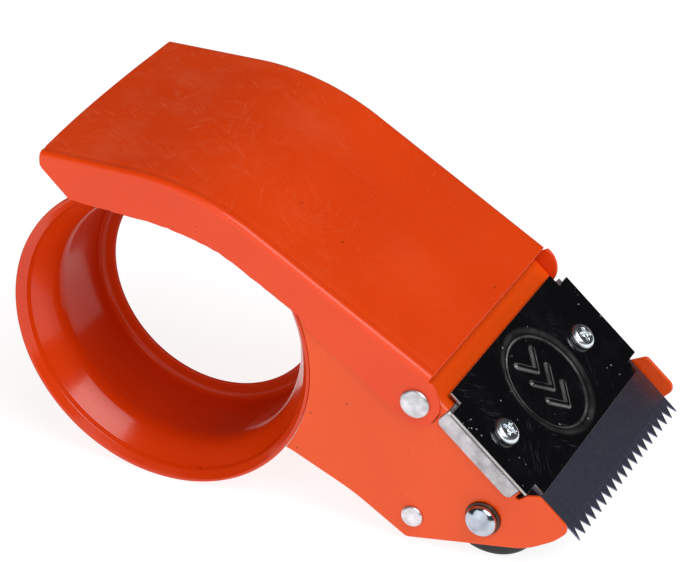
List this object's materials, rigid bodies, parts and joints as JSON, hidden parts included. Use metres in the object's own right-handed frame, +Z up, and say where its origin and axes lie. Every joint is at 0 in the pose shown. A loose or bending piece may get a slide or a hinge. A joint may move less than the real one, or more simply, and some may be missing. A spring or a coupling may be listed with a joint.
{
  "type": "hand-held packing tape dispenser",
  "caption": "Hand-held sheet-steel packing tape dispenser: flared tape hub, curved top cover, rubber roller, guide rod and a serrated blade clamped by a black plate.",
  "frame": {"origin": "middle of the tape hub's straight wall, on its axis", "axes": "+X forward to the blade, +Y along the hub axis toward the open side a roll is loaded from, +Z up"},
  "size_m": [0.1653, 0.0866, 0.0925],
  "materials": {
    "cover_paint": "orange stove enamel, scuffed along the rear",
    "nose_paint": "orange stove enamel, fine orange peel",
    "hub_paint": "glossy orange stove enamel",
    "zinc_saddle": "dull zinc plating",
    "blade_steel": "blued spring steel with a ground grain and bare edges",
    "black_lacquer": "glossy black lacquer with bare sheared edges",
    "zinc_screw": "bright zinc plating",
    "zinc_nut": "zinc plating",
    "rivet_aluminium": "satin, hammer marked",
    "rod_steel": "turned steel",
    "sleeve_steel": "drawn tube",
    "axle_chrome": "bright plating",
    "dark_washer": "dark oxide",
    "roller_rubber": "matte black rubber",
    "core_steel": "turned steel"
  },
  "bodies": {
    "dispenser": {"top_cover": "cover_paint", "nose_frame": "nose_paint", "tape_hub": "hub_paint", "blade_saddle": "zinc_saddle", "cutter_blade": "blade_steel", "clamp_plate": "black_lacquer", "blade_screw_near": "zinc_screw", "blade_screw_far": "zinc_screw", "blade_nut_near": "zinc_nut", "blade_nut_far": "zinc_nut", "cover_rivet_near": "rivet_aluminium", "cover_rivet_far": "rivet_aluminium", "guide_rod": "rod_steel", "roller_axle": "axle_chrome", "axle_head_washer": "dark_washer", "axle_nut_washer": "zinc_nut", "axle_nut": "zinc_nut", "roller_spacer_near": "zinc_nut", "roller_spacer_far": "zinc_nut"},
    "roller": {"roller_rubber": "roller_rubber", "roller_core": "core_steel"},
    "sleeve": {"guide_sleeve": "sleeve_steel"}
  },
  "joints": [
    {"name": "roller_spin", "type": "hinge", "parent": "dispenser", "child": "roller", "pos_m": [0.0944, 0.0172, -0.0302], "axis": [0, 1, 0], "continuous": true},
    {"name": "sleeve_spin", "type": "hinge", "parent": "dispenser", "child": "sleeve", "pos_m": [0.0743, 0.0172, -0.0354], "axis": [0, 1, 0], "continuous": true}
  ]
}
